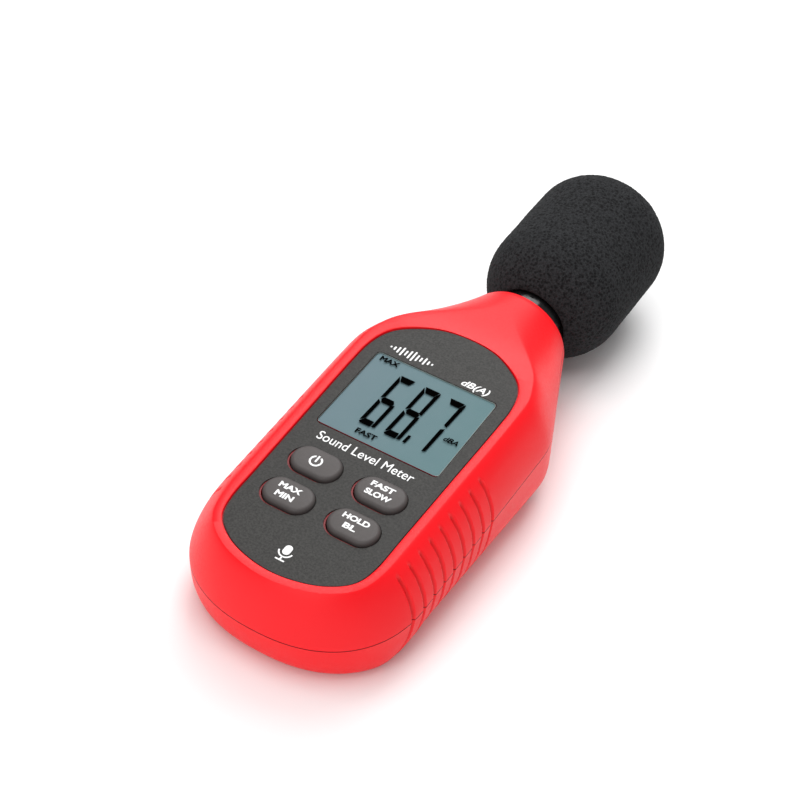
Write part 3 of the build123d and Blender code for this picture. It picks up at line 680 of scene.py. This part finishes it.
def make_panel_prints():
    """White printing on the face panel."""
    z = PANEL_TOP_Z + 0.01
    parts = [lettering("title", "Sound Level Meter", (-12.3, 11.1), (-16.5, -14.1), z, bold=0.004),
             lettering("unit", "dB(A)", (5.2, 11.9), (12.7, 15.1), z, bold=0.022, slant=0.25)]
    bars = []
    for index, height in enumerate((0.5, 1.1, 1.9, 2.7, 1.6, 2.5, 3.1, 2.0, 1.3, 2.2, 1.2, 0.6)):
        x = -13.6 + index * 0.95
        bars.append(rounded_box(0.42, height, 0.2, (x + 0.2, 15.05), steps=4))
    parts.append(flat_shapes("level_bars", bars, z))
    rings = [rounded_box(1.7, 2.5, 0.84, (0.0, -44.75), steps=8), arc_band((0, -45.1), 1.55, 0.34, 190, 350),
             bar((-0.17, 0.17), (-47.5, -46.6)), rounded_box(2.2, 0.34, 0.16, (0, -47.6), steps=3)]
    parts.append(flat_shapes("microphone_mark", rings, z))
    return settle(joined("panel_prints", parts))


def make_display_prints():
    """Dark digits and small words of the display."""
    z = PANEL_TOP_Z + 0.065
    outlines = []
    for index, digit in enumerate("687"):
        outlines += digit_segments(digit, -7.45 + 6.22 * index, -7.85)
    outlines.append([(3.55, -7.75), (4.25, -7.75), (4.4, -5.45), (3.75, -5.45)])
    parts = [flat_shapes("digits", outlines, z),
             lettering("word_max", "MAX", (-13.5, -8.8), (10.15, 11.6), z, bold=0.035),
             lettering("word_fast", "FAST", (-6.4, -1.4), (-10.75, -9.3), z, bold=0.03),
             lettering("word_unit", "dBA", (10.45, 13.85), (-2.85, -1.45), z, bold=0.02, slant=0.2)]
    return settle(joined("display_prints", parts))


def key_prints():
    """Outlines or lettering for each key, by node name."""
    z = KEY_TOP_Z - 0.035
    ring = flat_shapes("power_print", [arc_band((-7.95, -22.8), 1.28, 0.42, 118, 422),
                                       bar((-8.16, -7.74), (-23.1, -21.25))], z, 0.06)
    words = {
        "fast_slow_key": [("FAST", (4.85, 10.35), (-22.15, -20.7)),
                          ("SLOW", (4.75, 10.75), (-24.55, -23.05))],
        "max_min_key": [("MAX", (-10.75, -5.45), (-32.45, -31.0)), ("MIN", (-10.2, -5.95), (-34.85, -33.35))],
        "hold_key": [("HOLD", (4.6, 10.8), (-32.3, -30.85)), ("BL", (6.05, 9.05), (-34.6, -33.15))],
    }
    prints = {"power_key": ring}
    for node, lines in words.items():
        parts = [lettering(node + "_word", text, x, y, z, bold=0.042, thickness=0.06) for text, x, y in lines]
        prints[node] = joined(node + "_print", parts)
    return prints


# ======================================================================= windscreen
def foam_profile(spacing=0.36):
    """Evenly spaced (y, radius) points of the windscreen, from the bore's end round to the tip."""
    base, tip = FOAM_Y
    bore = TUBE_RADIUS + 0.05
    base_flat, tip_flat = FOAM_RADIUS - FOAM_BASE_ROUND, FOAM_RADIUS - FOAM_TIP_ROUND
    line = [(FOAM_BORE_Y, 0.05), (FOAM_BORE_Y, bore)]
    mouth = math.asin((bore + 0.5 - base_flat) / FOAM_BASE_ROUND)
    mouth_y = base + FOAM_BASE_ROUND * (1 - math.cos(mouth))
    line += [(mouth_y + 1.0, bore), (mouth_y + 0.3, bore + 0.08)]
    for angle in np.linspace(mouth, math.pi / 2, 30):
        line.append((base + FOAM_BASE_ROUND * (1 - math.cos(angle)),
                     base_flat + FOAM_BASE_ROUND * math.sin(angle)))
    for angle in np.linspace(0, math.pi / 2, 30):
        line.append((tip - FOAM_TIP_ROUND * (1 - math.sin(angle)),
                     tip_flat + FOAM_TIP_ROUND * math.cos(angle)))
    line.append((tip, 0.05))
    line = np.array(line)
    travelled = np.concatenate([[0], np.cumsum(np.linalg.norm(np.diff(line, axis=0), axis=1))])
    places = np.linspace(0, travelled[-1], int(travelled[-1] / spacing))
    return np.stack([np.interp(places, travelled, line[:, i]) for i in (0, 1)], 1)


def make_foam():
    """Open-cell foam windscreen with a bore."""
    profile = foam_profile()
    along = np.gradient(profile, axis=0)
    normal = np.stack([-along[:, 1], along[:, 0]], 1)
    normal /= np.linalg.norm(normal, axis=1, keepdims=True)
    in_bore = (profile[:, 1] < TUBE_RADIUS + 0.12) & (profile[:, 0] < FOAM_BORE_Y + 0.1)
    columns = 330
    points, faces = [], []
    for row, ((y, radius), (ny, nr)) in enumerate(zip(profile, normal)):
        for column in range(columns):
            angle = 2 * math.pi * column / columns
            place = Vector((radius * math.cos(angle), y, MIC_Z + radius * math.sin(angle)))
            depth = 0.0
            if not in_bore[row]:
                cells = noise.voronoi(place / 0.95)[0]
                depth = 0.14 * max(0.0, 0.62 - cells[0]) + 0.10 * (noise.noise(place / 0.45) + 0.6)
                depth += 0.07 * (noise.noise(place / 6.0) + 0.5)
            r = max(radius - nr * depth, 0.02)
            points.append((r * math.cos(angle), y - ny * depth, MIC_Z + r * math.sin(angle)))
            if row:
                a, b = (row - 1) * columns + column, (row - 1) * columns + (column + 1) % columns
                faces.append((a, b, b + columns, a + columns))
    faces.append(tuple(range(columns)))
    faces.append(tuple(range(len(points) - 1, len(points) - 1 - columns, -1)))
    return settle(faced_outward(from_arrays("foam", points, faces)), sharp_angle=70)


# ======================================================================= materials
def srgb(red, green, blue):
    """Linear colour from 0-255 display values."""
    def linear(value):
        value /= 255
        return value / 12.92 if value <= 0.04045 else ((value + 0.055) / 1.055) ** 2.4
    return (linear(red), linear(green), linear(blue), 1.0)


class Finish:
    """A procedural material: a shader with noise-driven colour, roughness and relief."""

    def __init__(self, name, colour, roughness=0.5, metallic=0.0, **sockets):
        self.material = bpy.data.materials.new(name)
        self.material.use_nodes = True
        self.tree = self.material.node_tree
        self.shader = self.tree.nodes["Principled BSDF"]
        self.shader.inputs["Base Color"].default_value = colour
        self.shader.inputs["Roughness"].default_value = roughness
        self.shader.inputs["Metallic"].default_value = metallic
        for socket, value in sockets.items():
            self.shader.inputs[socket.replace("_", " ")].default_value = value
        self.place = self.node("ShaderNodeTexCoord").outputs["Object"]

    def node(self, kind, **settings):
        made = self.tree.nodes.new(kind)
        for key, value in settings.items():
            setattr(made, key, value)
        return made

    def link(self, source, target):
        self.tree.links.new(source, target)

    def noise(self, size_mm, detail=3.0, stretch=None):
        """Noise whose features are about this size."""
        texture = self.node("ShaderNodeTexNoise")
        texture.inputs["Scale"].default_value = 1000.0 / size_mm
        texture.inputs["Detail"].default_value = detail
        self.link(self.stretched(stretch), texture.inputs["Vector"])
        return texture.outputs["Fac"]

    def stretched(self, stretch):
        """The object's coordinates, scaled per axis."""
        if stretch is None:
            return self.place
        mapping = self.node("ShaderNodeMapping")
        mapping.inputs["Scale"].default_value = stretch
        self.link(self.place, mapping.inputs["Vector"])
        return mapping.outputs["Vector"]

    def cells(self, size_mm):
        """Distance to the nearest cell centre of a cell pattern."""
        texture = self.node("ShaderNodeTexVoronoi")
        texture.inputs["Scale"].default_value = 1000.0 / size_mm
        self.link(self.place, texture.inputs["Vector"])
        return texture.outputs["Distance"]

    def spread(self, source, low, high, start=0.3, end=0.7):
        """Map a value between two levels."""
        mapped = self.node("ShaderNodeMapRange")
        for socket, value in (("From Min", start), ("From Max", end), ("To Min", low), ("To Max", high)):
            mapped.inputs[socket].default_value = value
        self.link(source, mapped.inputs["Value"])
        return mapped.outputs["Result"]

    def tint(self, source, colours, stops=(0.35, 0.65)):
        """Colour from a value; replaces the base colour."""
        blend = self.node("ShaderNodeValToRGB")
        for element, stop, colour in zip(blend.color_ramp.elements, stops, colours):
            element.position = stop
            element.color = colour
        self.link(source, blend.inputs["Fac"])
        self.link(blend.outputs["Color"], self.shader.inputs["Base Color"])

    def rough(self, source, low, high):
        """Roughness that varies between two levels."""
        self.link(self.spread(source, low, high), self.shader.inputs["Roughness"])
        return self

    def relief(self, source, height_mm):
        """Small relief of this height."""
        bump = self.node("ShaderNodeBump")
        bump.inputs["Distance"].default_value = height_mm * MM
        bump.inputs["Strength"].default_value = 1.0
        self.link(source, bump.inputs["Height"])
        self.link(bump.outputs["Normal"], self.shader.inputs["Normal"])
        return self


def shade(colour, share):
    """A colour made lighter or darker."""
    return tuple(min(1.0, value * share) for value in colour[:3]) + (1.0,)


def moulded(name, colour, roughness, grain_mm, grain_height, variation, patch_mm=9.0, **sockets):
    """Moulded plastic or rubber with a fine spark-eroded grain."""
    made = Finish(name, colour, roughness, **sockets)
    made.tint(made.noise(patch_mm, 2.0), (shade(colour, 1 - variation), shade(colour, 1 + variation)))
    made.rough(made.noise(grain_mm * 2, 2.0), roughness - 0.05, roughness + 0.06)
    made.relief(made.noise(grain_mm, 3.0), grain_height)
    return made.material


def metal(name, colour, roughness, streak=(1, 12, 1)):
    """Rolled or turned metal with fine streaks."""
    made = Finish(name, colour, roughness, metallic=1.0)
    made.tint(made.noise(2.0, 3.0, streak), (shade(colour, 0.85), shade(colour, 1.1)))
    made.rough(made.noise(0.6, 3.0, streak), roughness - 0.08, roughness + 0.1)
    made.relief(made.noise(0.25, 2.0, streak), 0.004)
    return made.material


RED = srgb(252, 16, 28)


def case_material():
    """Red satin plastic with a fine grain, with painted shade down in the grip grooves."""
    made = Finish("red_case_plastic", RED, 0.42, Specular_IOR_Level=0.3)
    # Painted shade: the stored groove depth darkens the red towards a deeper red in the grooves.
    depth = made.node("ShaderNodeAttribute", attribute_name="groove_painted_shade")
    level = made.node("ShaderNodeMath", operation="ADD")
    made.link(made.spread(depth.outputs["Fac"], 0.35, 1.0, 0.15, 1.0), level.inputs[0])
    made.link(made.spread(made.noise(9.0, 2.0), -0.03, 0.03), level.inputs[1])
    made.tint(level.outputs["Value"], (RED, srgb(228, 8, 18)), (0.35, 1.0))
    made.rough(made.noise(0.6, 2.0), 0.36, 0.46)
    return made.relief(made.noise(0.3, 3.0), 0.005).material


red_case = case_material()
# A darker copy of the case red: painted shade for the parting gap, the face plate and the window's near edge.
red_painted_shade = moulded("red_case_painted_shade", srgb(120, 6, 16), 0.5, 0.30, 0.005, 0.03)
panel_film = moulded("panel_film_print", srgb(47, 46, 44), 0.55, 0.30, 0.018, 0.28, patch_mm=0.45,
                     Specular_IOR_Level=0.3)
key_rubber = moulded("key_rubber", srgb(76, 71, 70), 0.55, 0.18, 0.005, 0.04, Specular_IOR_Level=0.4)
white_ink = moulded("white_ink", srgb(245, 245, 245), 0.5, 0.2, 0.002, 0.02)
display_ink = moulded("display_ink", srgb(3, 3, 3), 0.8, 0.3, 0.001, 0.05, Specular_IOR_Level=0.0)
white_plastic = moulded("white_plastic", srgb(228, 228, 222), 0.45, 0.4, 0.005, 0.03)
silicone = moulded("translucent_silicone", srgb(150, 148, 146), 0.6, 0.3, 0.004, 0.04)
chip_black = moulded("chip_resin", srgb(34, 34, 36), 0.6, 0.15, 0.008, 0.08)
gloss_black = moulded("gloss_black_plastic", srgb(14, 14, 15), 0.16, 0.5, 0.001, 0.05)
lead_red = moulded("lead_red_sleeve", srgb(200, 30, 30), 0.45, 0.4, 0.003, 0.05)
lead_black = moulded("lead_black_sleeve", srgb(20, 20, 20), 0.45, 0.4, 0.003, 0.05)
label_paper = moulded("label_film", srgb(200, 200, 198), 0.4, 0.5, 0.002, 0.03)
steel = metal("spring_steel", srgb(190, 190, 188), 0.3)
grille_metal = metal("grille_metal", srgb(90, 90, 92), 0.4)


def board_material():
    """Green solder mask over a faint woven base."""
    made = Finish("board_mask", srgb(24, 92, 54), 0.35)
    made.tint(made.noise(1.6, 4.0), (srgb(20, 84, 48), srgb(34, 112, 66)), (0.45, 0.55))
    made.rough(made.noise(0.5), 0.3, 0.42)
    return made.relief(made.noise(0.4, 2.0), 0.01).material


def display_material():
    """Blue-grey liquid crystal display, slightly greener to one side."""
    made = Finish("display_glass", srgb(122, 156, 163), 0.5, Specular_IOR_Level=0.15)
    gradient = made.node("ShaderNodeSeparateXYZ")
    made.link(made.place, gradient.inputs["Vector"])
    wave = made.node("ShaderNodeMath", operation="ADD")
    made.link(made.spread(gradient.outputs["X"], 0.2, 0.8, -0.015, 0.015), wave.inputs[0])
    made.link(made.spread(made.noise(14.0, 2.0), -0.03, 0.03), wave.inputs[1])
    made.tint(wave.outputs["Value"], (srgb(103, 125, 132), srgb(94, 124, 128)), (0.2, 0.8))
    made.rough(made.noise(3.0), 0.45, 0.55)
    return made.relief(made.noise(0.2, 1.0), 0.001).material


def lens_material():
    """Clear window: a faint gloss over what lies behind it."""
    made = Finish("clear_window", srgb(60, 70, 72), 0.2, Specular_IOR_Level=0.1)
    made.shader.inputs["Alpha"].default_value = 0.04
    made.rough(made.noise(6.0), 0.15, 0.25)
    made.relief(made.noise(0.3, 1.0), 0.0005)
    return made.material


def lens_edge_material():
    """Edge of the window: a pale painted highlight along the clear edge; the red of the case behind it is
    painted on the near side with another material.
    """
    made = Finish("window_edge_painted_highlight", srgb(190, 200, 196), 0.2)
    made.tint(made.noise(2.0), (srgb(196, 206, 202), srgb(170, 186, 182)))
    made.rough(made.noise(1.0), 0.15, 0.3)
    return made.relief(made.noise(0.5), 0.002).material


def foam_material():
    """Dark open-cell foam: painted highlights on the strands, painted shade in the pores, and broad mottling.
    """
    made = Finish("foam_cells", srgb(34, 35, 37), 0.95, Specular_IOR_Level=0.2)
    # Painted light: noise and cell edges lighten strands as painted highlights, cell centres darken pores as
    # painted shade.
    mixed = made.node("ShaderNodeMath", operation="MULTIPLY_ADD")
    made.link(made.noise(0.30, 1.5), mixed.inputs[0])
    mixed.inputs[1].default_value = 0.75
    made.link(made.spread(made.cells(0.8), 0.0, 0.3, 0.1, 0.6), mixed.inputs[2])
    made.tint(mixed.outputs["Value"], (srgb(13, 13, 14), srgb(56, 57, 59)), (0.40, 0.92))
    made.rough(made.noise(0.6), 0.9, 1.0)
    return made.relief(mixed.outputs["Value"], 0.25).material


def jacket_material():
    """Plain battery jacket: dark sleeve with a copper-coloured band at the nub end."""
    made = Finish("battery_sleeve", srgb(30, 30, 34), 0.3)
    axis = made.node("ShaderNodeSeparateXYZ")
    made.link(made.place, axis.inputs["Vector"])
    wave = made.node("ShaderNodeMath", operation="ADD")
    made.link(made.spread(axis.outputs["Y"], 0.0, 1.0, -0.0355, -0.0353), wave.inputs[0])
    made.link(made.spread(made.noise(3.0), -0.02, 0.02), wave.inputs[1])
    made.tint(wave.outputs["Value"], (srgb(28, 28, 32), srgb(186, 120, 62)), (0.45, 0.55))
    made.rough(made.noise(2.0), 0.22, 0.36)
    return made.relief(made.noise(1.2), 0.004).material


# ======================================================================= assembly
skin, groove_depth = grooved(case_points(case_outline(0.0, True), 0.0))
outer = grid_mesh("outer", skin, COLLAR_Y, groove_depth)
inner = grid_mesh("inner", case_points(case_outline(WALL, False), WALL, PLATE_LOW_Z), COLLAR_Y - 3.5)
cavity = add_object("cavity", inner.data.copy())
shell = cut(outer, inner)
lower = add_object("lower_shell", shell.data.copy())

finished(make_front_case(shell), "root", [red_case, red_painted_shade], ["front_case"])
finished(make_rear_case(lower, cavity), "root", [red_case, red_painted_shade], ["rear_case"])

panel_holes = [rounded_box(*WINDOW)]
panel_holes += [stadium(PANEL_KEY_GAP, (x + PANEL_KEY_SHIFT[0], y + PANEL_KEY_SHIFT[1]))
                for x, y in key_places()]
panel = sheet_with_holes("panel_sheet", panel_outline(), panel_holes, PANEL_FLOOR_Z, PANEL_TOP_Z, 0.06)
panel = settle(panel)
finished(panel, "root", panel_film, ["face_panel"])

picture, window = make_display()
finished(picture, "root", display_material(), ["lcd_cell"])
finished(window, "root", [lens_material(), lens_edge_material(), red_painted_shade], ["display_lens"])
# Painted light on the window's edge: the near side takes the painted shade red as the case seen through it,
# the other sides the pale painted highlight.
for face in window.data.polygons:
    near_side = face.normal.y < -0.6
    face.material_index = 0 if abs(face.normal.z) > 0.9 else 2 if near_side else 1

finished(make_panel_prints(), "root", white_ink)
finished(make_display_prints(), "root", display_ink)
marks = key_prints()
for node, place in zip(("power_key", "fast_slow_key", "max_min_key", "hold_key"), key_places()):
    cap = make_key(node + "_cap", place)
    finished(cap, node, key_rubber, [node])
    finished(settle(marks[node]), node, white_ink)

foam = finished(make_foam(), "windscreen", foam_material(), ["windscreen"])

NODE_FINISHES = {
    "battery_cover": red_case, "lcd_frame": white_plastic, "light_guide": white_plastic,
    "backlight_leds": white_plastic, "zebra_strip_upper": silicone, "zebra_strip_lower": silicone,
    "keypad_web": silicone, "key_domes": steel, "main_chip": chip_black, "amplifier_chip": chip_black,
    "board_capacitors": steel, "board_crystal": steel, "board_screws": steel, "case_screws": steel,
    "mic_tube": gloss_black, "mic_grommet": silicone, "mic_capsule": steel, "mic_grille": grille_metal,
    "mic_lead_signal": lead_red, "mic_lead_ground": lead_black, "rear_label": label_paper,
    "contact_negative": steel, "contact_bridge_lower": steel, "contact_bridge_upper": steel,
    "contact_positive": steel, "main_board": board_material(),
}
jacket = jacket_material()
for name in ("battery_left", "battery_middle", "battery_right"):
    NODE_FINISHES[name] = jacket
for name, finish in NODE_FINISHES.items():
    for material_slot in frame["nodes"][name].material_slots:
        material_slot.material = finish


# ======================================================================= studio
def studio_material():
    """Pale matt backdrop paper."""
    made = Finish("backdrop_paper", srgb(250, 250, 250), 0.9)
    made.tint(made.noise(60.0), (srgb(248, 248, 248), srgb(252, 252, 252)))
    made.rough(made.noise(4.0), 0.85, 0.95)
    return made.relief(made.noise(1.5), 0.01).material


FLOOR_HALF = 3000
floor_corners = [(sx * FLOOR_HALF, sy * FLOOR_HALF, 0) for sx, sy in ((-1, -1), (1, -1), (1, 1), (-1, 1))]
floor = from_arrays("floor", floor_corners, [(0, 1, 2, 3)])
floor.data.transform(Matrix.Scale(MM, 4))
floor.data.materials.append(studio_material())


def aim(made, place, target):
    """Place a light or camera and point it at the target."""
    made.location = place
    made.rotation_euler = (Vector(target) - Vector(place)).to_track_quat("-Z", "Y").to_euler()


def softbox(name, place, size, power, target=(0, 0, 0.015)):
    """Square area light."""
    light = bpy.data.lights.new(name, "AREA")
    light.size = size
    light.energy = power
    made = bpy.data.objects.new(name, light)
    bpy.context.scene.collection.objects.link(made)
    aim(made, place, target)


softbox("key_light", (-0.14, 0.46, 0.54), 0.5, 3.3)
softbox("top_light", (-0.05, -0.05, 0.70), 0.6, 2.8)
softbox("fill_light", (0.05, -0.65, 0.35), 0.6, 1.6)

world = bpy.data.worlds.new("studio")
world.use_nodes = True
world.node_tree.nodes["Background"].inputs["Color"].default_value = (1, 1, 1, 1)
world.node_tree.nodes["Background"].inputs["Strength"].default_value = 0.34
bpy.context.scene.world = world
bpy.context.scene.view_settings.view_transform = "Standard"

CAMERA_AZIMUTH = math.radians(28.19)
CAMERA_ELEVATION = math.radians(40.53)
CAMERA_ROLL = math.radians(5.53)
CAMERA_DISTANCE = 0.4228
CAMERA_TARGET = Vector((-0.010964, -0.006345, 0.013322))
CAMERA_LENS = 84.74

back = Vector((math.sin(CAMERA_AZIMUTH) * math.cos(CAMERA_ELEVATION),
               -math.cos(CAMERA_AZIMUTH) * math.cos(CAMERA_ELEVATION), math.sin(CAMERA_ELEVATION)))
right = Vector((0, 0, 1)).cross(back).normalized()
up = back.cross(right)
rolled_right = math.cos(CAMERA_ROLL) * right + math.sin(CAMERA_ROLL) * up
rolled_up = -math.sin(CAMERA_ROLL) * right + math.cos(CAMERA_ROLL) * up
camera = bpy.data.objects.new("camera", bpy.data.cameras.new("camera"))
bpy.context.scene.collection.objects.link(camera)
camera.data.lens = CAMERA_LENS
camera.data.sensor_width = 36.0
camera.data.clip_start = 0.01
turned = Matrix((rolled_right, rolled_up, back)).transposed().to_4x4()
camera.matrix_world = Matrix.Translation(CAMERA_TARGET + CAMERA_DISTANCE * back) @ turned
bpy.context.scene.camera = camera
